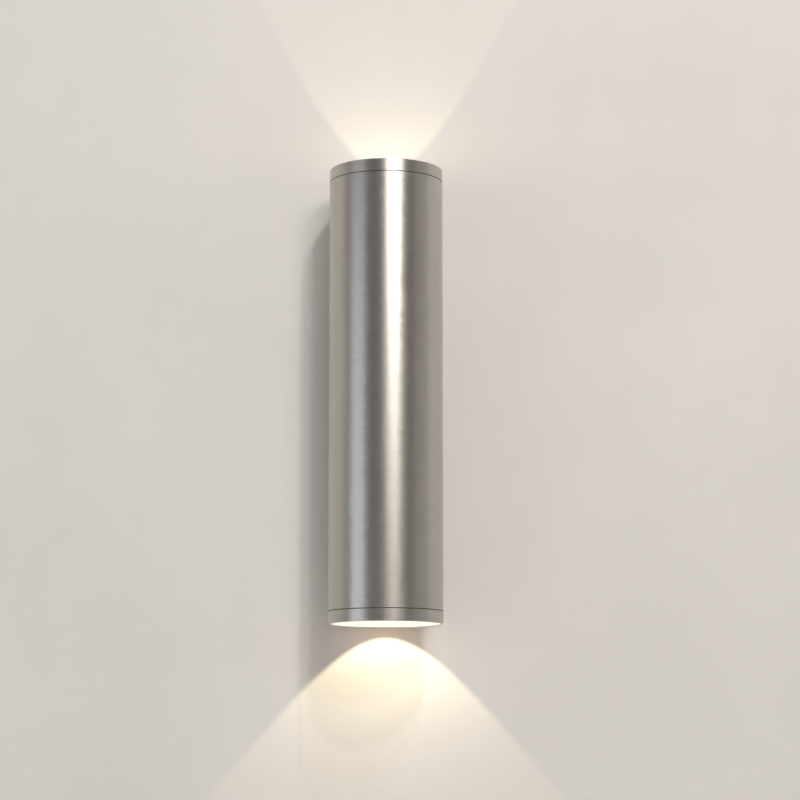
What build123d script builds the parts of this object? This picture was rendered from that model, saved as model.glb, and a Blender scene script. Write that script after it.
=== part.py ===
from build123d import *
from math import pi, radians, sqrt, tan
import os

os.makedirs("parts", exist_ok=True)

# An up and down wall light, in millimetres. +Z runs up the tube, the wall is the plane Y = 0
# and the light stands in front of it on the -Y side. The origin is the centre of the wall
# bracket's back face. The lower half is the upper half given half a turn about Y.

# Tube
tube_wall = 1.5
tube_length = 227.8  # between the two end rings
wall_gap = 6.0  # from the wall to the back of the tube
seam_chamfer = 0.25  # broken edges that meet as a fine dark line at each ring
tube_window_width = 24.0  # opening in the back of the tube, for wiring
tube_window_height = 56.0
tube_window_corner = 3.0

# Fits
thread_clearance = 0.08  # radial, end ring thread in the tube
screw_clearance = 0.04  # radial, screw in its tapped hole
hole_clearance = 0.25  # radial, screw in a plain hole
seat_clearance = 0.05  # between pieces that bear on each other along a curve
bayonet_clearance = 0.3  # round the lamp pins in their tracks

# End ring, its glass and its seals
rim_width = 1.2  # the thin bright rim round the glass
rim_chamfer = 0.2
ledge_width = 2.5
lamp_clearance = 1.3  # radial, for the lamp to pass through the ledge and neck
ledge_thickness = 1.5
neck_length = 8.0  # threaded part inside the tube
glass_thickness = 4.0
glass_recess = 0.3
glass_chamfer = 0.3
bedding_thickness = 0.8  # silicone under the glass
bedding_edge = 0.4  # silicone round the glass
o_ring_section = 1.2
groove_clearance = 0.05
groove_width = 1.5
groove_from_shoulder = 1.0

# Lamp with a twist-lock base
lamp_radius = 25.0
lamp_length = 47.0  # without its pins
lamp_gap = 8.2  # from the glass to the face of the lamp
lamp_rim_height = 7.0
lamp_neck_radius = 13.0
lamp_flank_bulge = 2.0
lamp_base_height = 9.0
lamp_base_width = 24.0
lamp_base_depth = 17.0
lamp_base_corner = 6.0
lamp_rim_width = 2.2
optic_foot_radius = 8.0
optic_depth = 13.3
optic_set_back = 0.5
optic_rim = 1.5
board_thickness = 1.2
board_radius = 9.0
pin_pitch = 10.0
pin_stem_radius = 1.5
pin_stem_length = 4.2
pin_head_radius = 2.5
pin_head_height = 2.8
pin_root = 3.0  # length held in the lamp's base
lamp_twist = 30.0  # degrees from locked to free

# Lampholder
holder_gap = 0.3  # from the lamp's base to the cap of the holder
cap_thickness = 3.4
holder_width = 28.0
holder_depth = 19.0
holder_corner = 5.0
holder_body_height = 14.0
holder_screw_x = 11.0
contact_thickness = 0.8
contact_gap = 0.1
contact_width = 3.0
contact_foot = 3.6
lead_socket = 3.0

# Sheet metal inside
sheet = 1.5
bend_radius = 1.0
strip_width = 20.0
hat_depth = 12.6  # how far the middle of the strip stands off its feet
web_gap = 1.5  # from each web of the strip to the plate of the holder bracket
leg_length = 14.2  # of the holder bracket, with its plate
leg_screw = 7.2  # from the plate's inner face to the screw in the leg
plate_width = 30.0
plate_front_corner = 6.0
plate_reach = 11.5  # plate in front of the tube's axis

# Screws
m3_radius = 1.5
m3_head_radius = 2.75
m3_head_height = 1.7
m4_radius = 2.0
m4_head_radius = 4.0
m4_head_height = 2.4
m4_nut_flats = 7.0
m4_nut_height = 3.2
recess_share = 0.55  # depth of the driver recess over the head's height

# Back frame, between tube and wall
frame_width = 40.0
frame_corner = 4.0
frame_side = 3.0
frame_screw_margin = 9.0  # solid metal above and below each screw
frame_inner_corner = 3.0
frame_screw_length = 12.0
frame_counterbore = 2.8
wall_seal_thickness = 1.0
wall_seal_inset = 0.4
wall_seal_end = 3.6
wall_seal_side = 2.2

# Wall bracket
bracket_width = 28.0
bracket_gap = 2.0  # from the ends of the bracket to the frame
bracket_sheet = 2.0
bracket_corner = 3.0
ear_height = 24.0
ear_depth = 7.5
ear_corner = 2.0
slot_margin = 11.0  # from the middle of a slot to the end of the bracket
slot_width = 4.8
slot_length = 10.0
cable_hole_radius = 8.0
grommet_bore_radius = 4.5
grommet_flange_radius = 10.0
grommet_flange_thickness = 1.2
grub_depth = 5.0  # from the wall to the axis of the grub screws
grub_length = 5.0
grub_socket_flats = 2.0
grub_socket_depth = 2.0

# Terminal block
block_width = 17.0
block_length = 28.0
block_depth = 12.0
block_corner = 1.5
pole_pitch = 9.0
pole_height = 6.0  # from the strip to the middle of each pole
insert_radius = 2.5
insert_bore_radius = 1.5
insert_length = 11.0
clamp_screw_x = 3.4
clamp_screw_radius = 1.25
clamp_screw_length = 4.6
clamp_screw_down = 0.6  # from the middle of the pole to the tip of the screw
clamp_slot = 0.5
well_radius = 2.0
fixing_well_radius = 3.0
fixing_well_depth = 4.0
fixing_screw_length = 9.8

# Earthing and leads
tag_gap = 4.2  # from the terminal block to the earth tag
tag_radius = 4.2
tag_thickness = 0.8
barrel_radius = 1.7
tag_tongue = 0.5  # how far the flat of the tag runs in under its barrel
barrel_start = 4.4
barrel_length = 4.0
earth_screw_length = 4.0
lead_radius = 1.0
lead_offset = 1.1  # two leads side by side in one pole
lead_spacing = 2.4  # between the two columns of leads beside the block
lead_wall_gap = 1.15  # from the outer column to the tube
near_bend = 6.0
far_bend = 8.0

# Places that follow from the sizes above
tube_radius = lamp_radius + lamp_clearance + ledge_width + rim_width
axis_y = -(wall_gap + tube_radius)
tube_bore = tube_radius - tube_wall
tube_end = tube_length / 2
ring_height = ledge_thickness + bedding_thickness + glass_thickness + glass_recess
ring_face = tube_end + ring_height
ledge_face = tube_end + ledge_thickness
glass_back = ledge_face + bedding_thickness
rim_bore = tube_radius - rim_width
ledge_bore = rim_bore - ledge_width
neck_radius = tube_bore - thread_clearance
neck_foot = tube_end - neck_length
groove_top = tube_end - groove_from_shoulder
groove_foot = groove_top - groove_width
o_ring_centre = tube_bore - seat_clearance - o_ring_section / 2
groove_floor = o_ring_centre - o_ring_section / 2 - groove_clearance
bedding_radius = rim_bore - seat_clearance
glass_radius = bedding_radius - bedding_edge

lamp_face = glass_back - lamp_gap
lamp_foot = lamp_face - lamp_length
base_top = lamp_foot + lamp_base_height
optic_radius = lamp_radius - lamp_rim_width
optic_face = lamp_face - optic_set_back
optic_foot = optic_face - optic_depth
board_foot = optic_foot - board_thickness
pin_head_top = lamp_foot - pin_stem_length
pin_head_foot = pin_head_top - pin_head_height
cap_face = lamp_foot - holder_gap
cap_foot = cap_face - cap_thickness
plate_face = cap_foot - holder_body_height
plate_foot = plate_face - sheet
foot_end = plate_foot + leg_length
hat_length = 2 * (plate_foot - web_gap)
frame_screw_z = plate_foot + leg_screw
frame_height = 2 * (frame_screw_z + frame_screw_margin)
frame_window = 2 * (frame_screw_z - frame_screw_margin)
bracket_height = frame_window - 2 * bracket_gap
slot_spacing = bracket_height - 2 * slot_margin
earth_z = -(block_length / 2 + tag_gap + tag_radius)
chamber_floor = pin_head_foot - contact_gap - contact_thickness
lead_stop = plate_face + lead_socket

frame_back_y = -wall_seal_thickness
foot_back_y = axis_y + sqrt(tube_bore**2 - (strip_width / 2) ** 2) - seat_clearance
foot_front_y = foot_back_y - sheet
leg_front_y = foot_front_y - sheet
hat_back_y = foot_back_y - hat_depth
hat_front_y = hat_back_y - sheet
block_back_y = hat_back_y + block_depth
pole_y = hat_back_y + pole_height
barrel_y = hat_back_y + barrel_radius
rear_lead_y = pole_y + lead_offset
front_lead_y = pole_y - lead_offset
far_column = sqrt(tube_bore**2 - (rear_lead_y - axis_y) ** 2) - lead_radius - lead_wall_gap
near_column = far_column - lead_spacing

# Planes and axes
tube_axis = Plane(origin=(0, axis_y, 0))
turning_plane = Plane.XZ.offset(-axis_y)
turning_axis = Axis((0, axis_y, 0), (0, 0, 1))
frame_back = Plane(origin=(0, frame_back_y, 0), x_dir=(1, 0, 0), z_dir=(0, 1, 0))
block_back = Plane(origin=(0, block_back_y, 0), x_dir=(1, 0, 0), z_dir=(0, 1, 0))
pin_track = CenterArc((0, 0), pin_pitch / 2, 0, lamp_twist)


def write_step(piece, label):
    piece.part.label = label
    export_step(piece.part, f"parts/{label}.step")


def write_both_ends(piece, label):
    """The piece as built at the top, and given half a turn about Y at the bottom."""
    with BuildPart() as turned_over:
        add(piece.part, rotation=(0, 180, 0))
    write_step(piece, f"upper_{label}")
    write_step(turned_over, f"lower_{label}")


def pan_screw(radius, length, head_radius, head_height):
    """A cross-recess screw with its head standing on Z = 0 and its shank running down -Z."""
    with BuildPart() as screw:
        with BuildSketch():
            Circle(radius)
        extrude(amount=-length)
        chamfer(screw.edges().group_by(Axis.Z)[0], radius / 4)
        with BuildSketch():
            Circle(head_radius)
        extrude(amount=head_height)
        fillet(screw.edges().group_by(Axis.Z)[-1], head_height / 2.5)
        with BuildSketch(Plane.XY.offset(head_height)):
            Rectangle(head_radius, head_radius / 4)
            Rectangle(head_radius / 4, head_radius)
        extrude(amount=-head_height * recess_share, mode=Mode.SUBTRACT)
    return screw.part


# Body of the light: the tube
with BuildPart() as main_tube:
    with BuildSketch(tube_axis.offset(-tube_end)):
        Circle(tube_radius)
        Circle(tube_bore, mode=Mode.SUBTRACT)
    extrude(amount=tube_length)
    rims = main_tube.edges().filter_by(GeomType.CIRCLE).group_by(SortBy.RADIUS)[-1]
    chamfer(rims, seam_chamfer)
    with BuildSketch(Plane.XZ):
        RectangleRounded(tube_window_width, tube_window_height, tube_window_corner)
        with Locations((0, frame_screw_z), (0, -frame_screw_z)):
            Circle(m4_radius + hole_clearance)
    extrude(amount=-axis_y, mode=Mode.SUBTRACT)
write_step(main_tube, "main_tube")

# End ring: a turned cap with a thin rim, a ledge for the glass and a threaded neck
with BuildPart() as end_ring:
    with BuildSketch(turning_plane):
        with BuildLine():
            Polyline(
                (ledge_bore, neck_foot),
                (neck_radius - seam_chamfer, neck_foot),
                (neck_radius, neck_foot + seam_chamfer),
                (neck_radius, groove_foot),
                (groove_floor, groove_foot),
                (groove_floor, groove_top),
                (neck_radius, groove_top),
                (neck_radius, tube_end),
                (tube_radius - seam_chamfer, tube_end),
                (tube_radius, tube_end + seam_chamfer),
                (tube_radius, ring_face - rim_chamfer),
                (tube_radius - rim_chamfer, ring_face),
                (rim_bore, ring_face),
                (rim_bore, ledge_face),
                (ledge_bore, ledge_face),
                close=True,
            )
        make_face()
    revolve(axis=turning_axis)
write_both_ends(end_ring, "end_ring")

with BuildPart() as glass_disc:
    with BuildSketch(tube_axis.offset(glass_back)):
        Circle(glass_radius)
    extrude(amount=glass_thickness)
    chamfer(glass_disc.edges().group_by(Axis.Z)[-1], glass_chamfer)
write_both_ends(glass_disc, "glass_disc")

# Silicone bedding, an L in section: under the glass and round its edge
with BuildPart() as glass_bedding:
    with BuildSketch(tube_axis.offset(ledge_face)):
        Circle(bedding_radius)
        Circle(ledge_bore, mode=Mode.SUBTRACT)
    extrude(amount=bedding_thickness)
    with BuildSketch(tube_axis.offset(glass_back)):
        Circle(bedding_radius)
        Circle(glass_radius, mode=Mode.SUBTRACT)
    extrude(amount=glass_thickness - glass_chamfer)
write_both_ends(glass_bedding, "glass_bedding")

with BuildPart() as o_ring:
    with BuildSketch(turning_plane):
        with Locations((o_ring_centre, (groove_top + groove_foot) / 2)):
            Circle(o_ring_section / 2)
    revolve(axis=turning_axis)
write_both_ends(o_ring, "o_ring")

# Lamp: shell, optic, board, base and pins
flank_foot = (lamp_neck_radius, base_top)
flank_top = (lamp_radius, lamp_face - lamp_rim_height)
flank_run = (flank_top[0] - flank_foot[0], flank_top[1] - flank_foot[1])
flank_length = sqrt(flank_run[0] ** 2 + flank_run[1] ** 2)
flank_middle = (
    (flank_foot[0] + flank_top[0]) / 2 + lamp_flank_bulge * flank_run[1] / flank_length,
    (flank_foot[1] + flank_top[1]) / 2 - lamp_flank_bulge * flank_run[0] / flank_length,
)
with BuildPart() as lamp_shell:
    with BuildSketch(turning_plane):
        with BuildLine():
            Polyline((0, board_foot), (0, base_top), flank_foot)
            ThreePointArc(flank_foot, flank_middle, flank_top)
            Polyline(
                flank_top,
                (lamp_radius, lamp_face),
                (optic_radius, lamp_face),
                (optic_radius, optic_face - optic_rim),
                (board_radius, optic_foot),
                (board_radius, board_foot),
                (0, board_foot),
            )
        make_face()
    revolve(axis=turning_axis)
write_both_ends(lamp_shell, "lamp_shell")

with BuildPart() as lamp_optic:
    with BuildSketch(turning_plane):
        with BuildLine():
            Polyline(
                (0, optic_foot),
                (optic_foot_radius, optic_foot),
                (optic_radius - seat_clearance, optic_face - optic_rim),
                (optic_radius - seat_clearance, optic_face),
                (0, optic_face),
                close=True,
            )
        make_face()
    revolve(axis=turning_axis)
write_both_ends(lamp_optic, "lamp_optic")

with BuildPart() as lamp_board:
    with BuildSketch(tube_axis.offset(board_foot)):
        Circle(board_radius - seat_clearance)
    extrude(amount=board_thickness)
write_both_ends(lamp_board, "lamp_board")

with BuildPart() as lamp_base:
    with BuildSketch(tube_axis.offset(lamp_foot)):
        RectangleRounded(lamp_base_width, lamp_base_depth, lamp_base_corner)
    extrude(amount=lamp_base_height)
    chamfer(lamp_base.edges().group_by(Axis.Z)[0], seam_chamfer)
    with BuildSketch(tube_axis.offset(lamp_foot)):
        with PolarLocations(pin_pitch / 2, 2):
            Circle(pin_stem_radius + seat_clearance)
    extrude(amount=pin_root, mode=Mode.SUBTRACT)
write_both_ends(lamp_base, "lamp_base")

with BuildPart() as lamp_pins:
    with BuildSketch(tube_axis.offset(pin_head_top)):
        with PolarLocations(pin_pitch / 2, 2):
            Circle(pin_stem_radius)
    extrude(amount=pin_stem_length + pin_root)
    with BuildSketch(tube_axis.offset(pin_head_foot)):
        with PolarLocations(pin_pitch / 2, 2):
            Circle(pin_head_radius)
    extrude(amount=pin_head_height)
    chamfer(lamp_pins.edges().group_by(Axis.Z)[0], pin_head_radius / 5)
write_both_ends(lamp_pins, "lamp_pins")

# Lampholder: a slotted cap over a ceramic body with two contacts
with BuildPart() as holder_cap:
    with BuildSketch(tube_axis.offset(cap_foot)):
        RectangleRounded(holder_width, holder_depth, holder_corner)
        with PolarLocations(0, 2):
            SlotArc(pin_track, 2 * (pin_stem_radius + bayonet_clearance), mode=Mode.SUBTRACT)
        with PolarLocations(pin_pitch / 2, 2, start_angle=lamp_twist):
            Circle(pin_head_radius + bayonet_clearance, mode=Mode.SUBTRACT)
        with PolarLocations(holder_screw_x, 2):
            Circle(m3_radius + hole_clearance, mode=Mode.SUBTRACT)
    extrude(amount=cap_thickness)
    with BuildSketch(tube_axis.offset(cap_face)):
        with PolarLocations(holder_screw_x, 2):
            Circle(m3_head_radius + hole_clearance)
    extrude(amount=-m3_head_height, mode=Mode.SUBTRACT)
write_both_ends(holder_cap, "holder_cap")

with BuildPart() as holder_body:
    with BuildSketch(tube_axis.offset(plate_face)):
        RectangleRounded(holder_width, holder_depth, holder_corner)
        with PolarLocations(holder_screw_x, 2):
            Circle(m3_radius + hole_clearance, mode=Mode.SUBTRACT)
    extrude(amount=holder_body_height)
    with BuildSketch(tube_axis.offset(chamber_floor)):
        with PolarLocations(0, 2):
            SlotArc(pin_track, 2 * (pin_head_radius + bayonet_clearance))
    extrude(amount=cap_foot - chamber_floor, mode=Mode.SUBTRACT)
    with BuildSketch(tube_axis.offset(lead_stop)):
        with PolarLocations(pin_pitch / 2, 2):
            Rectangle(contact_thickness + 2 * seat_clearance, contact_width + 2 * seat_clearance)
    extrude(amount=chamber_floor - lead_stop, mode=Mode.SUBTRACT)
    with BuildSketch(tube_axis.offset(plate_face)):
        with PolarLocations(pin_pitch / 2, 2):
            Circle(lead_radius + hole_clearance)
    extrude(amount=lead_socket, mode=Mode.SUBTRACT)
write_both_ends(holder_body, "holder_body")

with BuildPart() as holder_contacts:
    with BuildSketch(tube_axis.offset(chamber_floor)):
        with PolarLocations(pin_pitch / 2, 2):
            Rectangle(contact_foot, contact_width)
    extrude(amount=contact_thickness)
    with BuildSketch(tube_axis.offset(lead_stop)):
        with PolarLocations(pin_pitch / 2, 2):
            Rectangle(contact_thickness, contact_width)
    extrude(amount=chamber_floor - lead_stop)
write_both_ends(holder_contacts, "holder_contacts")

holder_screw_seat = cap_face - m3_head_height
holder_screw_length = holder_screw_seat - plate_foot + sheet / 2
holder_screw = pan_screw(m3_radius, holder_screw_length, m3_head_radius, m3_head_height)
with BuildPart() as holder_screws:
    with Locations(tube_axis.offset(holder_screw_seat)):
        with PolarLocations(holder_screw_x, 2):
            add(holder_screw)
write_both_ends(holder_screws, "holder_screws")

# Holder bracket: a plate across the tube with a narrower leg along the foot of the strip
plate_front_y = axis_y - plate_reach
plate_back_y = leg_front_y - bend_radius
with BuildPart() as holder_bracket:
    with BuildSketch(Plane.YZ):
        with Locations((plate_front_y, plate_foot)):
            Rectangle(plate_back_y - plate_front_y, sheet, align=Align.MIN)
    extrude(amount=plate_width / 2, both=True)
    fillet(holder_bracket.edges().filter_by(Axis.Z).group_by(Axis.Y)[0], plate_front_corner)
    with BuildSketch(Plane.YZ):
        with Locations((plate_back_y, plate_foot)):
            Rectangle(foot_front_y - plate_back_y, sheet, align=Align.MIN)
        with Locations((leg_front_y, plate_foot)):
            Rectangle(sheet, foot_end - plate_foot, align=Align.MIN)
    extrude(amount=strip_width / 2, both=True)
    fillet(holder_bracket.edges().filter_by(Axis.X).group_by(Axis.Y)[-1].sort_by(Axis.Z)[0], bend_radius)
    with BuildSketch(tube_axis.offset(plate_foot)):
        with PolarLocations(pin_pitch / 2, 2):
            Circle(lead_radius + hole_clearance)
        with PolarLocations(holder_screw_x, 2):
            Circle(m3_radius + screw_clearance)
    extrude(amount=sheet, mode=Mode.SUBTRACT)
    with BuildSketch(Plane.XZ.offset(-foot_front_y)):
        with Locations((0, frame_screw_z)):
            Circle(m4_radius + hole_clearance)
    extrude(amount=sheet, mode=Mode.SUBTRACT)
write_both_ends(holder_bracket, "holder_bracket")

# Inner strip: a hat-shaped strip whose feet lie along the back of the tube
web_foot = hat_length / 2 - sheet
with BuildPart() as inner_strip:
    with BuildSketch(Plane.YZ):
        with Locations(((hat_back_y + hat_front_y) / 2, 0)):
            Rectangle(sheet, hat_length)
        with Locations(((foot_back_y + hat_front_y) / 2, 0)):
            with GridLocations(1, hat_length - sheet, 1, 2):
                Rectangle(foot_back_y - hat_front_y, sheet)
        with Locations(((foot_back_y + foot_front_y) / 2, 0)):
            with GridLocations(1, foot_end + web_foot, 1, 2):
                Rectangle(sheet, foot_end - web_foot)
    extrude(amount=strip_width / 2, both=True)
    bends = inner_strip.edges().filter_by(Axis.X)
    outer_bends = bends.filter_by_position(Axis.Z, hat_length / 2 - sheet / 4, hat_length / 2 + sheet / 4)
    fillet(outer_bends.group_by(Axis.Y)[0], bend_radius)
    with BuildSketch(Plane.XZ.offset(-foot_back_y)):
        with Locations((0, frame_screw_z), (0, -frame_screw_z)):
            Circle(m4_radius + hole_clearance)
    extrude(amount=sheet, mode=Mode.SUBTRACT)
    with BuildSketch(Plane.XZ.offset(-hat_back_y)):
        with Locations((0, pole_pitch / 2), (0, -pole_pitch / 2)):
            Circle(m3_radius + screw_clearance)
        with Locations((0, earth_z)):
            Circle(m4_radius + screw_clearance)
    extrude(amount=sheet, mode=Mode.SUBTRACT)
write_step(inner_strip, "inner_strip")

# Back frame: a cast frame with a saddle for the tube and a solid block at each end
with BuildPart() as back_frame:
    with BuildSketch(Plane.XZ.offset(wall_seal_thickness)):
        RectangleRounded(frame_width, frame_height, frame_corner)
        RectangleRounded(
            frame_width - 2 * frame_side,
            frame_window,
            frame_inner_corner,
            mode=Mode.SUBTRACT,
        )
    extrude(amount=tube_radius)
    with BuildSketch(tube_axis.offset(-frame_height / 2)):
        Circle(tube_radius + seat_clearance)
        with Locations((0, -tube_radius)):
            Rectangle(2 * tube_radius, 2 * tube_radius)
    extrude(amount=frame_height, mode=Mode.SUBTRACT)
    with Locations(frame_back):
        with Locations((0, frame_screw_z), (0, -frame_screw_z)):
            CounterBoreHole(
                radius=m4_radius + hole_clearance,
                counter_bore_radius=m4_head_radius + 2 * hole_clearance,
                counter_bore_depth=frame_counterbore,
            )
    with BuildSketch(Plane.YZ):
        with Locations((-grub_depth, 0)):
            Circle(m4_radius + screw_clearance)
    extrude(amount=frame_width / 2, both=True, mode=Mode.SUBTRACT)
write_step(back_frame, "back_frame")

with BuildPart() as wall_seal:
    with BuildSketch(Plane.XZ):
        RectangleRounded(
            frame_width - 2 * wall_seal_inset,
            frame_height - 2 * wall_seal_inset,
            frame_corner - wall_seal_inset,
        )
        RectangleRounded(
            frame_width - 2 * (wall_seal_inset + wall_seal_side),
            frame_height - 2 * (wall_seal_inset + wall_seal_end),
            frame_inner_corner,
            mode=Mode.SUBTRACT,
        )
    extrude(amount=wall_seal_thickness)
write_step(wall_seal, "wall_seal")

# Screws and nuts that hold the frame, tube, strip and holder brackets together
frame_screw_seat = frame_back_y - frame_counterbore
frame_screw = pan_screw(m4_radius, frame_screw_length, m4_head_radius, m4_head_height)
with BuildPart() as frame_screws:
    for end in (1, -1):
        with Locations(Plane(origin=(0, frame_screw_seat, end * frame_screw_z), z_dir=(0, 1, 0))):
            add(frame_screw)
write_step(frame_screws, "frame_screws")

with BuildPart() as frame_nuts:
    with BuildSketch(Plane.XZ.offset(-leg_front_y)):
        with Locations((0, frame_screw_z), (0, -frame_screw_z)):
            RegularPolygon(m4_nut_flats / 2, 6, major_radius=False)
            Circle(m4_radius + screw_clearance, mode=Mode.SUBTRACT)
    extrude(amount=m4_nut_height)
write_step(frame_nuts, "frame_nuts")

# Wall bracket: a plate with two ears that the grub screws grip
ear_x = bracket_width / 2
with BuildPart() as wall_bracket:
    with BuildSketch(Plane.XZ):
        RectangleRounded(bracket_width, bracket_height, bracket_corner)
    extrude(amount=bracket_sheet)
    with BuildSketch(Plane.XY.offset(-ear_height / 2)):
        with Locations((0, -ear_depth / 2)):
            with GridLocations(bracket_width - bracket_sheet, 1, 2, 1):
                Rectangle(bracket_sheet, ear_depth)
    extrude(amount=ear_height)
    ear_tips = wall_bracket.edges().filter_by(Axis.X).group_by(Axis.Y)[0]
    fillet(ear_tips, ear_corner)
    with BuildSketch(Plane.XZ):
        with Locations((0, slot_spacing / 2), (0, -slot_spacing / 2)):
            SlotOverall(slot_length, slot_width, rotation=90)
        Circle(cable_hole_radius)
    extrude(amount=bracket_sheet, mode=Mode.SUBTRACT)
write_step(wall_bracket, "wall_bracket")

with BuildPart() as cable_grommet:
    with BuildSketch(Plane.XZ):
        Circle(cable_hole_radius - seat_clearance)
        Circle(grommet_bore_radius, mode=Mode.SUBTRACT)
    extrude(amount=bracket_sheet)
    with BuildSketch(Plane.XZ.offset(bracket_sheet)):
        Circle(grommet_flange_radius)
        Circle(grommet_bore_radius, mode=Mode.SUBTRACT)
    extrude(amount=grommet_flange_thickness)
write_step(cable_grommet, "cable_grommet")

grub_tip_x = ear_x + seat_clearance
with BuildPart() as grub_screws:
    with BuildSketch(Plane.YZ.offset(grub_tip_x)):
        with Locations((-grub_depth, 0)):
            Circle(m4_radius)
    extrude(amount=grub_length)
    chamfer(grub_screws.edges().group_by(Axis.X)[0], m4_radius / 4)
    with BuildSketch(Plane.YZ.offset(grub_tip_x + grub_length)):
        with Locations((-grub_depth, 0)):
            RegularPolygon(grub_socket_flats / 2, 6, major_radius=False)
    extrude(amount=-grub_socket_depth, mode=Mode.SUBTRACT)
    mirror(about=Plane.YZ)
write_step(grub_screws, "grub_screws")

# Terminal block on the back of the strip, facing the tube's window
with BuildPart() as terminal_block:
    with BuildSketch(block_back):
        RectangleRounded(block_width, block_length, block_corner)
    extrude(amount=-block_depth)
    with BuildSketch(block_back):
        with GridLocations(2 * clamp_screw_x, pole_pitch, 2, 3):
            Circle(well_radius)
    extrude(amount=pole_height - block_depth, mode=Mode.SUBTRACT)
    with Locations(block_back):
        with Locations((0, pole_pitch / 2), (0, -pole_pitch / 2)):
            CounterBoreHole(
                radius=m3_radius + hole_clearance,
                counter_bore_radius=fixing_well_radius,
                counter_bore_depth=fixing_well_depth,
            )
    with BuildSketch(Plane.YZ):
        with Locations((pole_y, 0)):
            with GridLocations(1, pole_pitch, 1, 3):
                Circle(insert_radius + seat_clearance)
    extrude(amount=block_width / 2, both=True, mode=Mode.SUBTRACT)
write_step(terminal_block, "terminal_block")

with BuildPart() as terminal_inserts:
    with BuildSketch(Plane.YZ):
        with Locations((pole_y, 0)):
            with GridLocations(1, pole_pitch, 1, 3):
                Circle(insert_radius)
                Circle(insert_bore_radius, mode=Mode.SUBTRACT)
    extrude(amount=insert_length / 2, both=True)
    with BuildSketch(block_back):
        with GridLocations(2 * clamp_screw_x, pole_pitch, 2, 3):
            Circle(clamp_screw_radius + screw_clearance)
    extrude(amount=pole_height - block_depth, mode=Mode.SUBTRACT)
write_step(terminal_inserts, "terminal_inserts")

with BuildPart() as clamp_screws:
    with BuildSketch(Plane.XZ.offset(-pole_y - clamp_screw_down)):
        with GridLocations(2 * clamp_screw_x, pole_pitch, 2, 3):
            Circle(clamp_screw_radius)
    extrude(amount=-clamp_screw_length)
    with BuildSketch(Plane.XZ.offset(-pole_y - clamp_screw_down - clamp_screw_length)):
        with GridLocations(2 * clamp_screw_x, pole_pitch, 2, 3):
            Rectangle(2 * clamp_screw_radius, clamp_slot)
    extrude(amount=2 * clamp_slot, mode=Mode.SUBTRACT)
write_step(clamp_screws, "clamp_screws")

fixing_screw_seat = block_back_y - fixing_well_depth
fixing_screw = pan_screw(m3_radius, fixing_screw_length, m3_head_radius, m3_head_height)
with BuildPart() as fixing_screws:
    for end in (1, -1):
        with Locations(Plane(origin=(0, fixing_screw_seat, end * pole_pitch / 2), z_dir=(0, 1, 0))):
            add(fixing_screw)
write_step(fixing_screws, "fixing_screws")

# Earth tag and its screw, on the back of the strip below the terminal block
with BuildPart() as earth_tag:
    with BuildSketch(Plane.XZ.offset(-hat_back_y)):
        with Locations((0, earth_z)):
            Circle(tag_radius)
        with Locations((-(barrel_start + tag_tongue) / 2, earth_z)):
            Rectangle(barrel_start + tag_tongue, 2 * barrel_radius)
        with Locations((0, earth_z)):
            Circle(m4_radius + hole_clearance, mode=Mode.SUBTRACT)
    extrude(amount=-tag_thickness)
    with BuildSketch(Plane.YZ.offset(-barrel_start)):
        with Locations((barrel_y, earth_z)):
            Circle(barrel_radius)
            Circle(lead_radius + seat_clearance, mode=Mode.SUBTRACT)
    extrude(amount=-barrel_length)
write_step(earth_tag, "earth_tag")

earth_screw_seat = hat_back_y + tag_thickness
earth_screw_made = pan_screw(m4_radius, earth_screw_length, m4_head_radius, m4_head_height)
with BuildPart() as earth_screw:
    with Locations(Plane(origin=(0, earth_screw_seat, earth_z), z_dir=(0, 1, 0))):
        add(earth_screw_made)
write_step(earth_screw, "earth_screw")


def write_lead(label, corners, last_bend):
    """A lead on straight runs and tangent arcs; the last arc turns it into its terminal."""
    runs = [after - before for before, after in zip(corners, corners[1:])]
    bends = []
    for into, out in zip(runs, runs[1:]):
        half_turn = radians(into.get_angle(out)) / 2
        bends.append(0.45 * min(into.length, out.length) / tan(half_turn))
    bends[-1] = min(last_bend, 0.54 * runs[-2].length)
    route = FilletPolyline(*corners, radius=bends)
    with BuildPart() as lead:
        with BuildSketch(Plane(origin=route @ 0, z_dir=route % 0)):
            Circle(lead_radius)
        sweep(path=route)
    section = pi * lead_radius**2
    print(label, "bends", [round(bend, 1) for bend in bends])
    print(label, "volume over section times length", round(lead.part.volume / section / route.length, 5))
    write_step(lead, label)


def write_holder_lead(label, contact, column, entry, steps, last_bend):
    """A lead from a lampholder's contact, round the strip, down a column and into its pole.

    Each step is a corner of the slack, as shares of the way from the contact and the holder's
    plate to the column, the depth of the terminal and the height of its pole.
    """
    contact_x, contact_z, plate_z = contact
    entry_y, pole_z = entry
    corners = [Vector(contact_x, axis_y, contact_z)]
    for across, back, down in steps:
        x = contact_x + across * (column - contact_x)
        y = axis_y + back * (entry_y - axis_y)
        corners.append(Vector(x, y, plate_z + down * (pole_z - plate_z)))
    corners.append(Vector(column, entry_y, pole_z))
    corners.append(Vector(insert_length / 2, entry_y, pole_z))
    write_lead(label, corners, last_bend)


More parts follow.
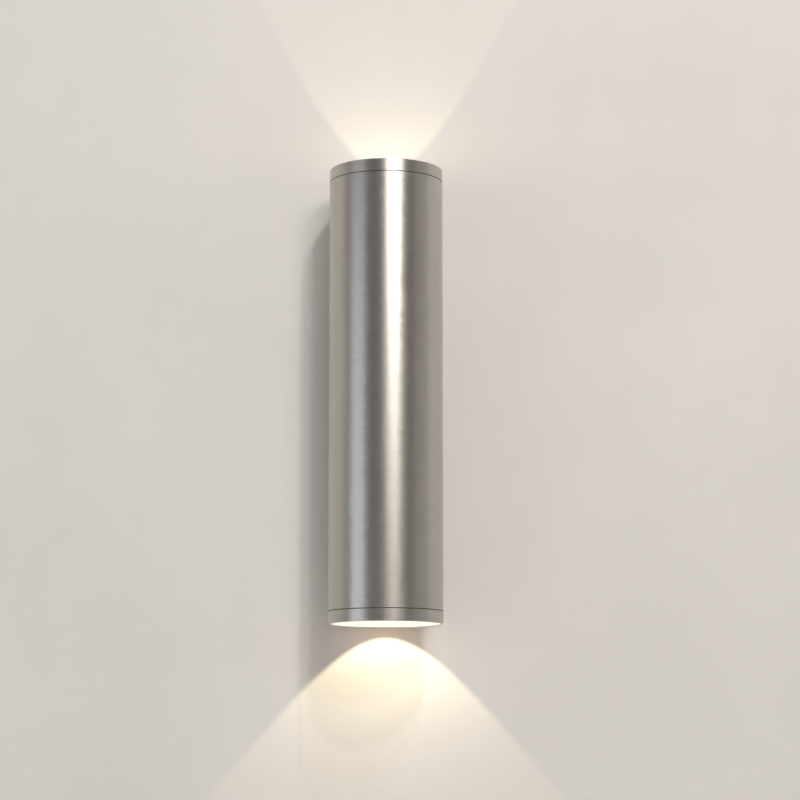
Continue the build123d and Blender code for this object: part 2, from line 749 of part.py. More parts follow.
contact_x = pin_pitch / 2
write_holder_lead(
    "upper_live_lead",
    (contact_x, lead_stop, plate_foot),
    near_column,
    (rear_lead_y, pole_pitch),
    [(0, 0, 0.21), (1, 0.47, 0.42), (1, 1, 0.63)],
    near_bend,
)
write_holder_lead(
    "upper_neutral_lead",
    (-contact_x, lead_stop, plate_foot),
    far_column,
    (rear_lead_y, 0),
    [(0, 0, 0.11), (0.59, 0.14, 0.33), (1, 0.57, 0.47), (1, 1, 0.62)],
    far_bend,
)
write_holder_lead(
    "lower_neutral_lead",
    (contact_x, -lead_stop, -plate_foot),
    near_column,
    (front_lead_y, 0),
    [(0, 0, 0.16), (1, 0.48, 0.35), (1, 1, 0.57)],
    near_bend,
)
write_holder_lead(
    "lower_live_lead",
    (-contact_x, -lead_stop, -plate_foot),
    far_column,
    (front_lead_y, pole_pitch),
    [(0, 0, 0.09), (0.59, 0.16, 0.27), (1, 0.58, 0.43), (1, 1, 0.63)],
    far_bend,
)
write_lead(
    "earth_lead",
    [
        Vector(-insert_length / 2, pole_y, -pole_pitch),
        Vector(-near_column, pole_y, -pole_pitch),
        Vector(-near_column, barrel_y, earth_z),
        Vector(-barrel_start - lead_radius, barrel_y, earth_z),
    ],
    near_bend,
)
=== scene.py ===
import math

import bmesh
import bpy
from mathutils import Matrix, Vector


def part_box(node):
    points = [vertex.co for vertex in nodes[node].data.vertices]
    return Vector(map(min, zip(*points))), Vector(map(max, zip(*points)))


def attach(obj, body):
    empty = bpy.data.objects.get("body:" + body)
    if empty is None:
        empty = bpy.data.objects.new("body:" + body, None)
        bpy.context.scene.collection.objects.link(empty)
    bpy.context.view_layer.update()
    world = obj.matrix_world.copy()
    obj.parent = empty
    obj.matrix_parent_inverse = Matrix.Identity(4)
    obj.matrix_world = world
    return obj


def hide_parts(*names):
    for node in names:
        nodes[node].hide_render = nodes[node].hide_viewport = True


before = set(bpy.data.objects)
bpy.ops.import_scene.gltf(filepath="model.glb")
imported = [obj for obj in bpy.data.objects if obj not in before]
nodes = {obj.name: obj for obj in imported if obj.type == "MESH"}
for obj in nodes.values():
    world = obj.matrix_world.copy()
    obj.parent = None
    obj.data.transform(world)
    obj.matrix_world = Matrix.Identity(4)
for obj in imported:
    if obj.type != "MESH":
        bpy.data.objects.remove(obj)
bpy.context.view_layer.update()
print("frame loaded:", len(nodes), "nodes")

tubeLow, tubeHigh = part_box("main_tube")
axisY = (tubeLow.y + tubeHigh.y) / 2
tubeRadius = tubeHigh.x
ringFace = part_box("upper_end_ring")[1].z

noiseSpan = (0.3, 0.7)  # nearly all of a noise's values lie between these
noiseCore = (0.35, 0.65)
mainShare = 0.65  # of the first of two blended noises
fineDetail = 2.0


# Small helpers for node trees
def addNode(tree, kind, inputs=None, **settings):
    node = tree.nodes.new(kind)
    for name, value in settings.items():
        setattr(node, name, value)
    for name, value in (inputs or {}).items():
        if isinstance(value, bpy.types.NodeSocket):
            tree.links.new(value, node.inputs[name])
        else:
            node.inputs[name].default_value = value
    return node


def calc(tree, operation, a, b=0.0):
    return addNode(tree, "ShaderNodeMath", {0: a, 1: b}, operation=operation).outputs[0]


def mapRange(tree, value, fromLow, fromHigh, toLow=0.0, toHigh=1.0, smooth=False):
    inputs = {0: value, 1: fromLow, 2: fromHigh, 3: toLow, 4: toHigh}
    kind = "SMOOTHSTEP" if smooth else "LINEAR"
    return addNode(tree, "ShaderNodeMapRange", inputs, interpolation_type=kind).outputs[0]


def mixColours(tree, share, low, high):
    node = addNode(tree, "ShaderNodeMix", data_type="RGBA")
    for socket, value in ((node.inputs[0], share), (node.inputs[6], low), (node.inputs[7], high)):
        if isinstance(value, bpy.types.NodeSocket):
            tree.links.new(value, socket)
        else:
            socket.default_value = value
    return node.outputs[2]


def scaled(tree, vector, share):
    node = addNode(tree, "ShaderNodeVectorMath", {0: vector, "Scale": share}, operation="SCALE")
    return node.outputs[0]


def addVectors(tree, a, b):
    return addNode(tree, "ShaderNodeVectorMath", {0: a, 1: b}).outputs[0]


def splitAxes(tree, vector):
    return addNode(tree, "ShaderNodeSeparateXYZ", {0: vector}).outputs


def joinAxes(tree, x, y, z):
    return addNode(tree, "ShaderNodeCombineXYZ", {"X": x, "Y": y, "Z": z}).outputs[0]


def fromAxis(tree, axes):
    squares = [calc(tree, "MULTIPLY", axes[name], axes[name]) for name in "XY"]
    return calc(tree, "SQRT", calc(tree, "ADD", *squares))


def noise(tree, vector, scale, detail, roughness=0.5):
    inputs = {"Vector": vector, "Scale": scale, "Detail": detail, "Roughness": roughness}
    return addNode(tree, "ShaderNodeTexNoise", inputs).outputs[0]


def blended(tree, first, second):
    first = calc(tree, "MULTIPLY", first, mainShare)
    return calc(tree, "ADD", first, calc(tree, "MULTIPLY", second, 1 - mainShare))


def objectSpace(tree, location=(0, 0, 0), scale=(1, 1, 1)):
    place = addNode(tree, "ShaderNodeTexCoord").outputs["Object"]
    inputs = {0: place, "Location": location, "Scale": scale}
    return addNode(tree, "ShaderNodeMapping", inputs).outputs[0]


def newMaterial(name, sockets):
    material = bpy.data.materials.new(name)
    material.use_nodes = True
    tree = material.node_tree
    shader = tree.nodes["Principled BSDF"]
    for socket, value in sockets.items():
        shader.inputs[socket].default_value = value
    return material, tree, shader


def rgba(colour):
    return (*colour, 1.0)


def dress(material, *names):
    for name in names:
        piece = nodes[name]
        piece.data.materials.clear()
        piece.data.materials.append(material)


# Camera, at the place and angle of the photograph
camera = {
    "place": (0.0074, -1.3008, -0.1993),
    "tiltUp": 8.836,  # degrees
    "lens": 109.48,
    "sensor": 36.0,
}
cameraData = bpy.data.cameras.new("photoCamera")
cameraData.lens = camera["lens"]
cameraData.sensor_width = camera["sensor"]
cameraObject = bpy.data.objects.new("photoCamera", cameraData)
cameraObject.location = camera["place"]
cameraObject.rotation_euler = (math.radians(90 + camera["tiltUp"]), 0, 0)
bpy.context.scene.collection.objects.link(cameraObject)
bpy.context.scene.camera = cameraObject
bpy.context.scene.view_settings.view_transform = "Standard"


# Studio: three small keys from the upper right that give the wall its crisp shadows, a wide strip
# beside them, a low panel on the left and a fill behind. Angles are in degrees.
# Lift is how much painted light the lower beam adds inside a key's shadow on the wall, to wash it out
keyColour = (1.0, 0.985, 0.96)
lights = {
    "highKey": {"azimuth": 20.3, "elevation": 48.5, "distance": 1.8, "size": (0.085, 0.085),
                "power": 6.7, "colour": keyColour, "lift": 0.055},
    "middleKey": {"azimuth": 14.6, "elevation": 41.0, "distance": 3.0, "size": (0.14, 0.14),
                  "power": 14.0, "colour": keyColour, "lift": 0.005},
    "lowKey": {"azimuth": 20.3, "elevation": 27.0, "distance": 3.0, "size": (0.14, 0.14),
               "power": 6.2, "colour": keyColour},
    "strip": {"azimuth": 16.5, "elevation": 23, "distance": 1.5, "size": (0.64, 0.38),
              "power": 7.8, "colour": (1.0, 0.965, 0.875)},
    "leftPanel": {"azimuth": -57.5, "elevation": -2, "distance": 1.2, "size": (0.66, 0.9),
                  "power": 1.75, "colour": (0.87, 0.94, 1.02)},
    "backFill": {"azimuth": 190, "elevation": 25, "distance": 1.4, "size": (0.9, 0.9),
                 "power": 8.0, "colour": (1.0, 0.99, 0.97)},
}


def aim(light):
    return math.radians(light["azimuth"]), math.radians(light["elevation"])


def placeLight(name, light):
    data = bpy.data.lights.new(name, "AREA")
    data.shape = "RECTANGLE"
    data.size, data.size_y = light["size"]
    data.energy = light["power"]
    data.color = light["colour"]
    azimuth, elevation = aim(light)
    away = Vector((
        math.cos(elevation) * math.sin(azimuth),
        -math.cos(elevation) * math.cos(azimuth),
        math.sin(elevation),
    ))
    lamp = bpy.data.objects.new(name, data)
    lamp.location = Vector((0, axisY, 0)) + away * light["distance"]
    lamp.rotation_euler = away.to_track_quat("Z", "Y").to_euler()
    lamp.visible_camera = False
    bpy.context.scene.collection.objects.link(lamp)


for name, light in lights.items():
    placeLight(name, light)


# The room round the light: pale above, below and behind, with a darker far side that gives the
# metal its depth. Its bounds are parts of a unit direction
room = {
    "pale": (0.44, 0.433, 0.426),
    "farSide": 0.06,
    "farTint": (1.04, 1.0, 0.98),
    "rightSide": (0.74, 0.98, 0.36),  # from where to where the far side gains, and how much
    "leftSide": (-0.20, -0.70, 0.10),
    "low": (-0.60, -0.25),  # heights over which the far side fades out below and above
    "high": (0.72, 0.33),
    "front": (0.0, -0.3),  # over which it fades in, from level with the wall to the front
    "leastFlat": 0.01,  # so straight up and down divide by more than nothing
}


def roomWorld():
    world = bpy.data.worlds.new("room")
    world.use_nodes = True
    tree = world.node_tree
    axes = splitAxes(tree, addNode(tree, "ShaderNodeTexCoord").outputs["Generated"])
    flat = calc(tree, "SUBTRACT", 1.0, calc(tree, "MULTIPLY", axes["Z"], axes["Z"]))
    flat = calc(tree, "MAXIMUM", calc(tree, "SQRT", flat), room["leastFlat"])
    sideways = calc(tree, "DIVIDE", axes["X"], flat)
    level = room["farSide"]
    for start, end, gain in (room["rightSide"], room["leftSide"]):
        level = calc(tree, "ADD", level, mapRange(tree, sideways, start, end, 0.0, gain, smooth=True))
    share = calc(tree, "MULTIPLY", mapRange(tree, axes["Z"], *room["low"], smooth=True),
                 mapRange(tree, axes["Z"], *room["high"], smooth=True))
    share = calc(tree, "MULTIPLY", share, mapRange(tree, axes["Y"], *room["front"], smooth=True))
    colour = mixColours(tree, share, rgba(room["pale"]), scaled(tree, room["farTint"], level))
    tree.links.new(colour, tree.nodes["Background"].inputs["Color"])
    return world


bpy.context.scene.world = roomWorld()
print("camera and lights placed")


# Stage: a pale plaster wall with the light's own two beams painted on it as glow, and a pale floor
stage = {
    "wallY": 0.0003,
    "wallColour": (0.668, 0.643, 0.622),
    "wallRoughness": 0.9,
    "wallMottle": 0.03,
    "mottleScale": 9.0,
    "mottleDetail": 4.0,
    "mottleRoughness": 0.6,
    "floorZ": -0.9,
    "floorColour": (0.80, 0.79, 0.775),
    "floorRoughness": 0.85,
    "floorGlow": 0.15,  # pale background, seen by the camera and in metal and glass alone
    "halfWidth": 3.0,
    "wallTop": 2.4,
    "floorReach": 14.0,
    "throughRay": 0.03,  # rays this short pass the wall, so the back of the light isn't black
}
# painted light: the light's two beams and a warm spill near each end, drawn as glow on the wall
beams = {  # apex is above or below the middle, spread is a beam's half width over its length
    "upper": {"side": 1, "apex": 0.0515, "spread": 0.46, "strength": 4.6, "falloff": 1.5,
              "spill": 0.24, "spillFalloff": 1.5, "spillStart": (-0.006, 0.03),
              "spillColour": (1.0, 0.82, 0.56)},
    "lower": {"side": -1, "apex": 0.0795, "spread": 0.78, "strength": 10.8, "falloff": 1.8,
              "spill": 0.20, "spillFalloff": 2.6, "spillStart": (-0.012, 0.004),
              "spillColour": (1.0, 0.52, 0.18)},
}
beamColour = (1.0, 0.81, 0.535)
beamEdge = (1.03, 0.95)  # shares of its width over which a beam fades in
leastFromApex = 0.001
shadowEdge = {
    "soft": 0.002,
    "footSoft": 0.004,
    "height": 0.17,  # how far below the middle the shadow's foot falls, for the key's own distance
}


def stagePlane(name, place):
    shape = bmesh.new()
    bmesh.ops.create_grid(shape, x_segments=1, y_segments=1, size=1.0, matrix=place)
    mesh = bpy.data.meshes.new(name)
    shape.to_mesh(mesh)
    shape.free()
    piece = bpy.data.objects.new(name, mesh)
    bpy.context.scene.collection.objects.link(piece)
    return piece


def tubeShadow(tree, axes, light):  # 1 where the tube shades the wall from this light
    azimuth, elevation = aim(light)
    slope = math.tan(elevation) + shadowEdge["height"] / (light["distance"] * math.cos(elevation))
    soft, footSoft = shadowEdge["soft"], shadowEdge["footSoft"]
    aside = calc(tree, "MULTIPLY", axes["X"], math.cos(azimuth))
    aside = calc(tree, "ADD", aside, -axisY * math.sin(azimuth))
    chord = calc(tree, "SUBTRACT", tubeRadius**2, calc(tree, "MULTIPLY", aside, aside))
    reach = calc(tree, "SQRT", calc(tree, "MAXIMUM", chord, 0.0))
    reach = calc(tree, "SUBTRACT", reach, calc(tree, "MULTIPLY", axes["X"], math.sin(azimuth)))
    reach = calc(tree, "ADD", reach, -axisY * math.cos(azimuth))
    foot = calc(tree, "SUBTRACT", -ringFace, calc(tree, "MULTIPLY", reach, slope))
    aboveFoot = calc(tree, "SUBTRACT", axes["Z"], foot)
    aboveFoot = mapRange(tree, aboveFoot, -footSoft, footSoft, smooth=True)
    aside = calc(tree, "ABSOLUTE", aside)
    within = mapRange(tree, aside, tubeRadius + soft, tubeRadius - soft, smooth=True)
    return calc(tree, "MULTIPLY", aboveFoot, within)


# painted light: one beam's cone on the wall and the warm spill by the tube's end, as glow colour
def beamLight(tree, axes, beam, lift):
    height = calc(tree, "MULTIPLY", axes["Z"], beam["side"])
    fromApex = calc(tree, "MAXIMUM", calc(tree, "SUBTRACT", height, beam["apex"]), leastFromApex)
    acrossSquared = calc(tree, "POWER", calc(tree, "ABSOLUTE", axes["X"]), 2)
    acrossSquared = calc(tree, "ADD", acrossSquared, axisY**2)
    width = calc(tree, "MULTIPLY", fromApex, beam["spread"])
    cone = calc(tree, "DIVIDE", calc(tree, "SQRT", acrossSquared), width)
    cone = mapRange(tree, cone, *beamEdge, smooth=True)
    reach = calc(tree, "ADD", acrossSquared, calc(tree, "POWER", fromApex, 2))
    inside = calc(tree, "POWER", calc(tree, "DIVIDE", axisY**2, reach), beam["falloff"])
    inside = calc(tree, "ADD", calc(tree, "MULTIPLY", inside, beam["strength"]), lift)
    fromEnd = calc(tree, "SUBTRACT", height, ringFace)
    spillReach = calc(tree, "POWER", calc(tree, "ABSOLUTE", fromEnd), 2)
    spillReach = calc(tree, "ADD", acrossSquared, spillReach)
    spill = calc(tree, "POWER", calc(tree, "DIVIDE", axisY**2, spillReach), beam["spillFalloff"])
    spillShare = mapRange(tree, fromEnd, *beam["spillStart"], 0.0, beam["spill"], smooth=True)
    spill = calc(tree, "MULTIPLY", spill, spillShare)
    lit = scaled(tree, beamColour, calc(tree, "MULTIPLY", inside, cone))
    return addVectors(tree, lit, scaled(tree, beam["spillColour"], spill))


def wallMaterial():
    material, tree, shader = newMaterial("paintedWall", {"Roughness": stage["wallRoughness"]})
    place = objectSpace(tree)
    mottle = noise(tree, place, stage["mottleScale"], stage["mottleDetail"], stage["mottleRoughness"])
    tone = mapRange(tree, mottle, *noiseSpan, 1 - stage["wallMottle"], 1 + stage["wallMottle"])
    tree.links.new(scaled(tree, stage["wallColour"], tone), shader.inputs["Base Color"])
    axes = splitAxes(tree, place)
    # painted light: extra glow inside the keys' shadows below the tube, which the lower beam washes
    # out
    lift = 0.0
    for light in lights.values():
        if "lift" in light:
            shaded = calc(tree, "MULTIPLY", tubeShadow(tree, axes, light), light["lift"])
            lift = calc(tree, "ADD", lift, shaded)
    upperBeam = beamLight(tree, axes, beams["upper"], 0.0)
    lowerBeam = beamLight(tree, axes, beams["lower"], lift)
    tree.links.new(addVectors(tree, upperBeam, lowerBeam), shader.inputs["Emission Color"])
    shader.inputs["Emission Strength"].default_value = 1.0
    path = addNode(tree, "ShaderNodeLightPath").outputs
    short = calc(tree, "LESS_THAN", path["Ray Length"], stage["throughRay"])
    short = calc(tree, "MULTIPLY", short, calc(tree, "SUBTRACT", 1.0, path["Is Camera Ray"]))
    behind = addNode(tree, "ShaderNodeNewGeometry").outputs["Backfacing"]
    through = calc(tree, "MAXIMUM", short, behind)
    clear = addNode(tree, "ShaderNodeBsdfTransparent").outputs[0]
    mix = addNode(tree, "ShaderNodeMixShader", {0: through, 1: shader.outputs[0], 2: clear})
    tree.links.new(mix.outputs[0], tree.nodes["Material Output"].inputs["Surface"])
    return material


def floorMaterial():
    material, tree, shader = newMaterial("paleFloor", {
        "Roughness": stage["floorRoughness"],
        "Base Color": rgba(stage["floorColour"]),
        "Emission Color": rgba(stage["floorColour"]),
    })
    path = addNode(tree, "ShaderNodeLightPath").outputs
    seen = calc(tree, "MAXIMUM", path["Is Camera Ray"], path["Is Glossy Ray"])
    seen = calc(tree, "MAXIMUM", seen, path["Is Transmission Ray"])
    glow = calc(tree, "MULTIPLY", seen, stage["floorGlow"])
    tree.links.new(glow, shader.inputs["Emission Strength"])
    return material


halfHeight = (stage["wallTop"] - stage["floorZ"]) / 2
upright = Matrix.Translation((0, stage["wallY"], stage["floorZ"] + halfHeight))
upright = upright @ Matrix.Rotation(math.radians(90), 4, "X")
upright = upright @ Matrix.Diagonal((stage["halfWidth"], halfHeight, 1, 1))
wall = stagePlane("wall", upright)
wall.data.materials.append(wallMaterial())
level = Matrix.Translation((0, 0, stage["floorZ"])) @ Matrix.Scale(stage["floorReach"], 4)
floor = stagePlane("floor", level)
floor.data.materials.append(floorMaterial())
print("stage built")


# Brushed metal of the tube and rings: fine lines round the axis, painted shade in the seam between
# ring and tube, bright worn corners
seam = tubeHigh.z
brushed = {
    "sockets": {"Metallic": 1.0, "Anisotropic": 0.42, "Anisotropic Rotation": 0.25},
    "dark": (0.486, 0.458, 0.430),
    "light": (0.537, 0.506, 0.478),
    "roughness": (0.295, 0.335),
    "lineLength": 0.011,
    "fineLine": 0.00016,
    "deepLine": 0.0006,
    "bump": 0.10,
    "bumpDepth": 0.00002,
    "wander": 0.10,  # how far a line strays from level
    "lean": 0.036,  # how far a line's shine leans left or right
    "leanLength": 0.005,
    "leanLine": 0.0005,
    "seamReach": 0.0005,
    "seamCore": 0.6,  # the share of that reach that is fully in painted shade
    "seamDepth": (0.00002, 0.0001),  # under the tube's face, where the seam's painted shade begins and is full
    # painted shade: how dark the seam's groove is drawn
    "seamPaintedShade": 0.12,
    "seamRoughness": 0.7,
    "cornerReach": 0.0004,
    "cornerBright": 1.15,
}


def lineNoise(tree, axes, along, length, line):  # long level lines: length round the tube, line high
    x = calc(tree, "DIVIDE", axes["X"], length)
    y = calc(tree, "DIVIDE", axes["Y"], length)
    return noise(tree, joinAxes(tree, x, y, calc(tree, "DIVIDE", along, line)), 1.0, fineDetail)


def seamShare(tree, look, height, radius):
    fromSeam = calc(tree, "ABSOLUTE", calc(tree, "SUBTRACT", height, seam))
    near = mapRange(tree, fromSeam, look["seamReach"], look["seamReach"] * look["seamCore"])
    begins, full = look["seamDepth"]
    return calc(tree, "MULTIPLY", near, mapRange(tree, radius, tubeRadius - begins, tubeRadius - full))


def cornerShare(tree, look, height, radius):
    nearFace = mapRange(tree, height, ringFace - look["cornerReach"], ringFace)
    return calc(tree, "MULTIPLY", nearFace,
                mapRange(tree, radius, tubeRadius - look["cornerReach"], tubeRadius))


def brushedMetal(look):
    material, tree, shader = newMaterial("brushedSteel", look["sockets"])
    axes = splitAxes(tree, objectSpace(tree, location=(0, -axisY, 0)))
    radius = fromAxis(tree, axes)
    along = calc(tree, "ADD", axes["Z"], radius)
    fine = lineNoise(tree, axes, along, look["lineLength"], look["fineLine"])
    deep = lineNoise(tree, axes, along, look["lineLength"], look["deepLine"])
    both = blended(tree, fine, deep)
    share = mapRange(tree, both, *noiseCore)
    colour = mixColours(tree, share, rgba(look["dark"]), rgba(look["light"]))
    height = calc(tree, "ABSOLUTE", axes["Z"])
    inSeam = seamShare(tree, look, height, radius)
    corner = cornerShare(tree, look, height, radius)
    # painted shade: the seam's groove is darkened in the base colour; the worn corners are lighter
    tone = mapRange(tree, inSeam, 0.0, 1.0, 1.0, look["seamPaintedShade"])
    tone = calc(tree, "MULTIPLY", tone, mapRange(tree, corner, 0.0, 1.0, 1.0, look["cornerBright"]))
    tree.links.new(scaled(tree, colour, tone), shader.inputs["Base Color"])
    rough = mapRange(tree, both, *noiseSpan, *look["roughness"])
    rough = calc(tree, "MAXIMUM", rough, calc(tree, "MULTIPLY", inSeam, look["seamRoughness"]))
    tree.links.new(rough, shader.inputs["Roughness"])
    around = addNode(tree, "ShaderNodeTangent", direction_type="RADIAL", axis="Z").outputs[0]
    leaning = lineNoise(tree, axes, along, look["leanLength"], look["leanLine"])
    leaning = mapRange(tree, leaning, *noiseSpan, -look["lean"], look["lean"])
    facing = addNode(tree, "ShaderNodeNewGeometry").outputs["Normal"]
    leant = addVectors(tree, facing, scaled(tree, around, leaning))
    leant = addNode(tree, "ShaderNodeVectorMath", {0: leant}, operation="NORMALIZE").outputs[0]
    bump = addNode(tree, "ShaderNodeBump", {
        "Strength": look["bump"], "Distance": look["bumpDepth"], "Height": both, "Normal": leant})
    tree.links.new(bump.outputs[0], shader.inputs["Normal"])
    stray = mapRange(tree, both, *noiseSpan, -look["wander"], look["wander"])
    tangent = addVectors(tree, around, joinAxes(tree, 0.0, 0.0, stray))
    tree.links.new(tangent, shader.inputs["Tangent"])
    return material


brushedSteel = brushedMetal(brushed)
dress(brushedSteel, "main_tube")
print("tube finished")


# End rings, each turned from one profile in mm, with a thread on its neck. The lower ring is the
# upper one mirrored, so its thread is drawn left-handed
ring = {
    "profile": [  # radius and height: down the bore, up the neck, out to the rim, in to the glass seat
        (26.3, 115.4), (26.3, 105.9), (28.17, 105.9), (28.42, 106.15), (28.42, 111.4), (27.2, 111.4),
        (27.2, 112.9), (28.42, 112.9), (28.42, 113.9), (29.75, 113.9), (29.999, 114.15),
        (29.999, 120.3), (29.8, 120.5), (28.8, 120.5), (28.8, 115.4),
    ],
    "neck": 28.42,
    "threadFoot": 106.15,
    "threadTop": 111.4,
    "threadRows": 32,
    "threadRunOut": 0.5,
    "pitch": 1.5,
    "threadDepth": 0.6,
    "threadFlank": 1.4,  # how steeply a groove's sides fall
    "threadCrest": 0.2,  # how much of a groove's form the flat crest takes off
    "segments": 144,
    "sharp": 30,  # degrees
    "joinWithin": 0.001,
    "onNeckWithin": 0.01,
    "unit": 0.001,  # metres in a mm
}


def threadCut(x, y, z):  # how deep the thread is cut here
    turn = (z / ring["pitch"] - math.atan2(y, x) / (2 * math.pi)) % 1
    groove = ring["threadFlank"] * (1 - abs(2 * turn - 1)) - ring["threadCrest"]
    groove = min(1.0, max(0.0, groove))
    fromEnds = min(z - ring["threadFoot"], ring["threadTop"] - z)
    return ring["threadDepth"] * groove * min(1.0, max(0.0, fromEnds / ring["threadRunOut"]))


def ringOutline():  # the profile, with rows of points up the threaded length
    step = (ring["threadTop"] - ring["threadFoot"]) / ring["threadRows"]
    outline = []
    for radius, height in ring["profile"]:
        outline.append((radius, height))
        if (radius, height) == (ring["neck"], ring["threadFoot"]):
            outline += [(radius, height + step * row) for row in range(1, ring["threadRows"])]
    return outline


def cutThread(shape):
    for vertex in shape.verts:
        radius = math.hypot(vertex.co.x, vertex.co.y)
        onNeck = radius > ring["neck"] - ring["onNeckWithin"]
        if onNeck and ring["threadFoot"] < vertex.co.z < ring["threadTop"]:
            shrink = 1 - threadCut(*vertex.co) / radius
            vertex.co.x *= shrink
            vertex.co.y *= shrink


def endRing(name, side, body, node):
    shape = bmesh.new()
    corners = [shape.verts.new((radius, 0, height)) for radius, height in ringOutline()]
    edges = [shape.edges.new(pair) for pair in zip(corners, corners[1:] + corners[:1])]
    bmesh.ops.spin(shape, geom=corners + edges, cent=(0, 0, 0), axis=(0, 0, 1), angle=2 * math.pi,
                   steps=ring["segments"], use_merge=True)
    bmesh.ops.remove_doubles(shape, verts=shape.verts[:], dist=ring["joinWithin"])
    cutThread(shape)
    unit = ring["unit"]
    bmesh.ops.scale(shape, vec=(unit, unit, unit * side), verts=shape.verts[:])
    bmesh.ops.translate(shape, vec=(0, axisY, 0), verts=shape.verts[:])
    bmesh.ops.recalc_face_normals(shape, faces=shape.faces[:])
    for face in shape.faces:
        face.smooth = True
    mesh = bpy.data.meshes.new(name)
    shape.to_mesh(mesh)
    shape.free()
    mesh.set_sharp_from_angle(angle=math.radians(ring["sharp"]))
    mesh.materials.append(brushedSteel)
    piece = bpy.data.objects.new(name, mesh)
    bpy.context.scene.collection.objects.link(piece)
    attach(piece, body)
    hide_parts(node)


endRing("upperRing", 1, "upper_cap", "upper_end_ring")
endRing("lowerRing", -1, "lower_cap", "lower_end_ring")
print("end rings turned")


# Everything else: a colour that varies, a roughness that varies and a fine grain
grain = {
    "broadDetail": 4.0,
    "broadRoughness": 0.55,
    "bandMiddle": 0.5,  # of a band and the gap beside it, where the band lies
    "bandEdge": (0.17, 0.15),  # how far from that middle the band begins and is full
    "glowSpan": (0.014, 0.0285),  # radii between which a glow eases off, from lamp to rim
}


def bandedColour(tree, look, colour):
    axes = splitAxes(tree, objectSpace(tree))
    slant = calc(tree, "ADD", calc(tree, "ADD", axes["X"], axes["Y"]), axes["Z"])
    turn = calc(tree, "FRACT", calc(tree, "DIVIDE", slant, look["bandPitch"]))
    fromMiddle = calc(tree, "ABSOLUTE", calc(tree, "SUBTRACT", turn, grain["bandMiddle"]))
    band = mapRange(tree, fromMiddle, *grain["bandEdge"])
    return mixColours(tree, band, colour, rgba(look["bands"]))


def finish(name, look):
    material, tree, shader = newMaterial(name, look["sockets"])
    place = objectSpace(tree, scale=look.get("stretch", (1, 1, 1)))
    broad = noise(tree, place, 1 / look["patch"], grain["broadDetail"], grain["broadRoughness"])
    fine = noise(tree, place, 1 / look["grain"], fineDetail)
    share = mapRange(tree, blended(tree, broad, fine), *noiseCore)
    colour = mixColours(tree, share, rgba(look["dark"]), rgba(look["light"]))
    if "bands" in look:
        colour = bandedColour(tree, look, colour)
    tree.links.new(colour, shader.inputs["Base Color"])
    rough = mapRange(tree, fine, *noiseSpan, *look["roughness"])
    tree.links.new(rough, shader.inputs["Roughness"])
    bump = addNode(tree, "ShaderNodeBump", {
        "Strength": look["bump"], "Distance": look["bumpDepth"], "Height": fine})
    tree.links.new(bump.outputs[0], shader.inputs["Normal"])
    if "glow" in look:  # brightest over the lamp, a little less at the rim
        radius = fromAxis(tree, splitAxes(tree, objectSpace(tree, location=(0, -axisY, 0))))
        glow = mapRange(tree, radius, *grain["glowSpan"], *look["glow"], smooth=True)
        tree.links.new(glow, shader.inputs["Emission Strength"])
    return material


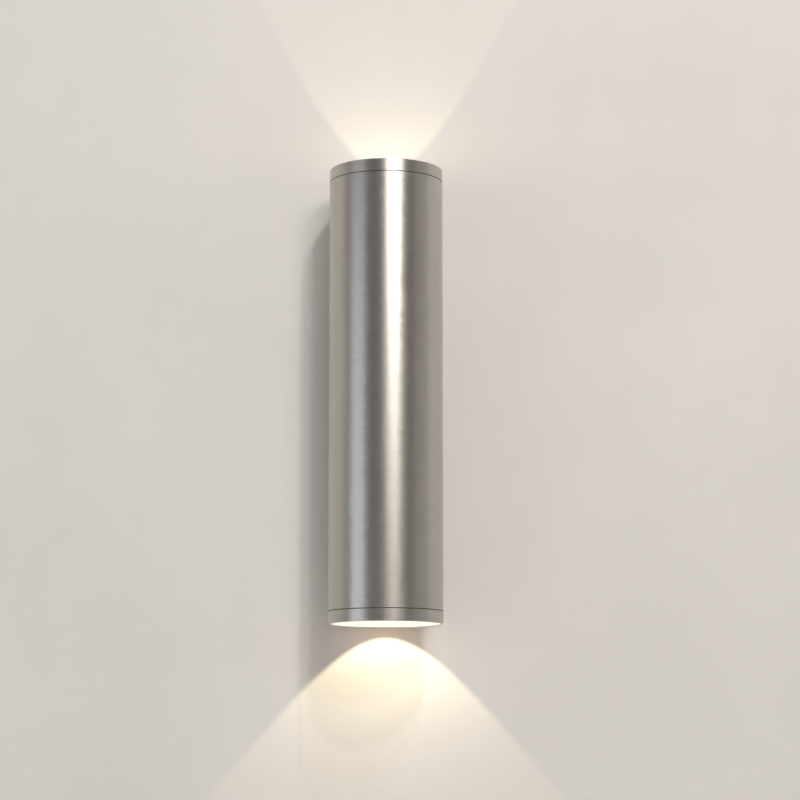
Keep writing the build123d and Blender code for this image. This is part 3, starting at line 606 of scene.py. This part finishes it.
finishes = {
    "castPaint": {
        "dark": (0.40, 0.39, 0.38), "light": (0.47, 0.46, 0.45), "roughness": (0.42, 0.55),
        "patch": 0.02, "grain": 0.0006, "bump": 0.25, "bumpDepth": 0.0001,
        "sockets": {"Metallic": 0.4},
    },
    "zincPlate": {
        "dark": (0.53, 0.55, 0.58), "light": (0.68, 0.70, 0.71), "roughness": (0.25, 0.42),
        "patch": 0.008, "grain": 0.0004, "bump": 0.15, "bumpDepth": 0.00005,
        "stretch": (1, 1, 0.12), "sockets": {"Metallic": 1.0},
    },
    "screwSteel": {
        "dark": (0.50, 0.50, 0.50), "light": (0.64, 0.64, 0.63), "roughness": (0.2, 0.35),
        "patch": 0.002, "grain": 0.0002, "bump": 0.1, "bumpDepth": 0.00003,
        "sockets": {"Metallic": 1.0},
    },
    "frostedGlass": {
        "dark": (0.80, 0.79, 0.76), "light": (0.86, 0.855, 0.83), "roughness": (0.45, 0.6),
        "patch": 0.01, "grain": 0.0003, "bump": 0.1, "bumpDepth": 0.00003, "glow": (0.40, 0.36),
        "sockets": {"Emission Color": (1.0, 1.0, 0.80, 1), "Transmission Weight": 0.25},
    },
    "silicone": {
        "dark": (0.78, 0.78, 0.75), "light": (0.86, 0.86, 0.84), "roughness": (0.3, 0.45),
        "patch": 0.004, "grain": 0.0005, "bump": 0.1, "bumpDepth": 0.0001, "glow": (0.5, 0.45),
        "sockets": {"Emission Color": (1.0, 0.97, 0.88, 1), "Transmission Weight": 0.3},
    },
    "blackRubber": {
        "dark": (0.022, 0.022, 0.022), "light": (0.045, 0.045, 0.045), "roughness": (0.5, 0.7),
        "patch": 0.004, "grain": 0.0003, "bump": 0.2, "bumpDepth": 0.0001, "sockets": {},
    },
    "blackFoam": {
        "dark": (0.03, 0.03, 0.03), "light": (0.08, 0.08, 0.08), "roughness": (0.8, 0.95),
        "patch": 0.003, "grain": 0.0005, "bump": 0.7, "bumpDepth": 0.0003, "sockets": {},
    },
    "nylon": {
        "dark": (0.78, 0.76, 0.70), "light": (0.87, 0.86, 0.81), "roughness": (0.35, 0.5),
        "patch": 0.006, "grain": 0.0004, "bump": 0.1, "bumpDepth": 0.00005,
        "sockets": {"Subsurface Weight": 0.15, "Subsurface Scale": 0.002},
    },
    "brass": {
        "dark": (0.68, 0.48, 0.20), "light": (0.82, 0.63, 0.32), "roughness": (0.22, 0.38),
        "patch": 0.003, "grain": 0.0002, "bump": 0.1, "bumpDepth": 0.00003,
        "sockets": {"Metallic": 1.0},
    },
    "tinned": {
        "dark": (0.60, 0.60, 0.60), "light": (0.74, 0.74, 0.73), "roughness": (0.3, 0.45),
        "patch": 0.003, "grain": 0.0003, "bump": 0.15, "bumpDepth": 0.00005,
        "sockets": {"Metallic": 1.0},
    },
    "brownLead": {
        "dark": (0.15, 0.06, 0.025), "light": (0.22, 0.10, 0.045), "roughness": (0.4, 0.55),
        "patch": 0.005, "grain": 0.0003, "bump": 0.1, "bumpDepth": 0.00005, "sockets": {},
    },
    "blueLead": {
        "dark": (0.035, 0.15, 0.45), "light": (0.06, 0.22, 0.58), "roughness": (0.4, 0.55),
        "patch": 0.005, "grain": 0.0003, "bump": 0.1, "bumpDepth": 0.00005, "sockets": {},
    },
    "earthLead": {
        "dark": (0.03, 0.28, 0.05), "light": (0.05, 0.36, 0.07), "roughness": (0.4, 0.55),
        "bands": (0.78, 0.62, 0.04), "bandPitch": 0.0045,
        "patch": 0.005, "grain": 0.0003, "bump": 0.1, "bumpDepth": 0.00005, "sockets": {},
    },
    "steatite": {
        "dark": (0.82, 0.79, 0.74), "light": (0.89, 0.87, 0.83), "roughness": (0.55, 0.75),
        "patch": 0.008, "grain": 0.0003, "bump": 0.2, "bumpDepth": 0.00008, "sockets": {},
    },
    "lampPlastic": {
        "dark": (0.84, 0.84, 0.82), "light": (0.89, 0.89, 0.88), "roughness": (0.25, 0.35),
        "patch": 0.01, "grain": 0.0005, "bump": 0.05, "bumpDepth": 0.00005, "sockets": {},
    },
    "lampLens": {
        "dark": (0.95, 0.95, 0.93), "light": (0.98, 0.98, 0.97), "roughness": (0.05, 0.15),
        "patch": 0.01, "grain": 0.0005, "bump": 0.05, "bumpDepth": 0.00005,
        "sockets": {"Transmission Weight": 0.8, "IOR": 1.5},
    },
    "boardWhite": {
        "dark": (0.82, 0.82, 0.80), "light": (0.88, 0.88, 0.86), "roughness": (0.3, 0.45),
        "patch": 0.004, "grain": 0.0003, "bump": 0.05, "bumpDepth": 0.00003, "sockets": {},
    },
    "nickel": {
        "dark": (0.68, 0.65, 0.61), "light": (0.78, 0.76, 0.72), "roughness": (0.12, 0.25),
        "patch": 0.002, "grain": 0.0002, "bump": 0.05, "bumpDepth": 0.00003,
        "sockets": {"Metallic": 1.0},
    },
}
wearers = {
    "castPaint": ["back_frame"],
    "zincPlate": ["inner_strip", "wall_bracket", "upper_holder_bracket", "lower_holder_bracket"],
    "screwSteel": ["frame_screws", "frame_nuts", "grub_screws", "clamp_screws", "fixing_screws",
                   "earth_screw", "upper_holder_screws", "lower_holder_screws"],
    "frostedGlass": ["upper_glass_disc", "lower_glass_disc"],
    "silicone": ["upper_glass_bedding", "lower_glass_bedding"],
    "blackRubber": ["cable_grommet", "upper_o_ring", "lower_o_ring"],
    "blackFoam": ["wall_seal"],
    "nylon": ["terminal_block"],
    "brass": ["terminal_inserts", "upper_holder_contacts", "lower_holder_contacts"],
    "tinned": ["earth_tag"],
    "brownLead": ["upper_live_lead", "lower_live_lead"],
    "blueLead": ["upper_neutral_lead", "lower_neutral_lead"],
    "earthLead": ["earth_lead"],
    "steatite": ["upper_holder_cap", "upper_holder_body", "lower_holder_cap", "lower_holder_body"],
    "lampPlastic": ["upper_lamp_shell", "upper_lamp_base", "lower_lamp_shell", "lower_lamp_base"],
    "lampLens": ["upper_lamp_optic", "lower_lamp_optic"],
    "boardWhite": ["upper_lamp_board", "lower_lamp_board"],
    "nickel": ["upper_lamp_pins", "lower_lamp_pins"],
}
for name, look in finishes.items():
    dress(finish(name, look), *wearers[name])
print("inner pieces finished")
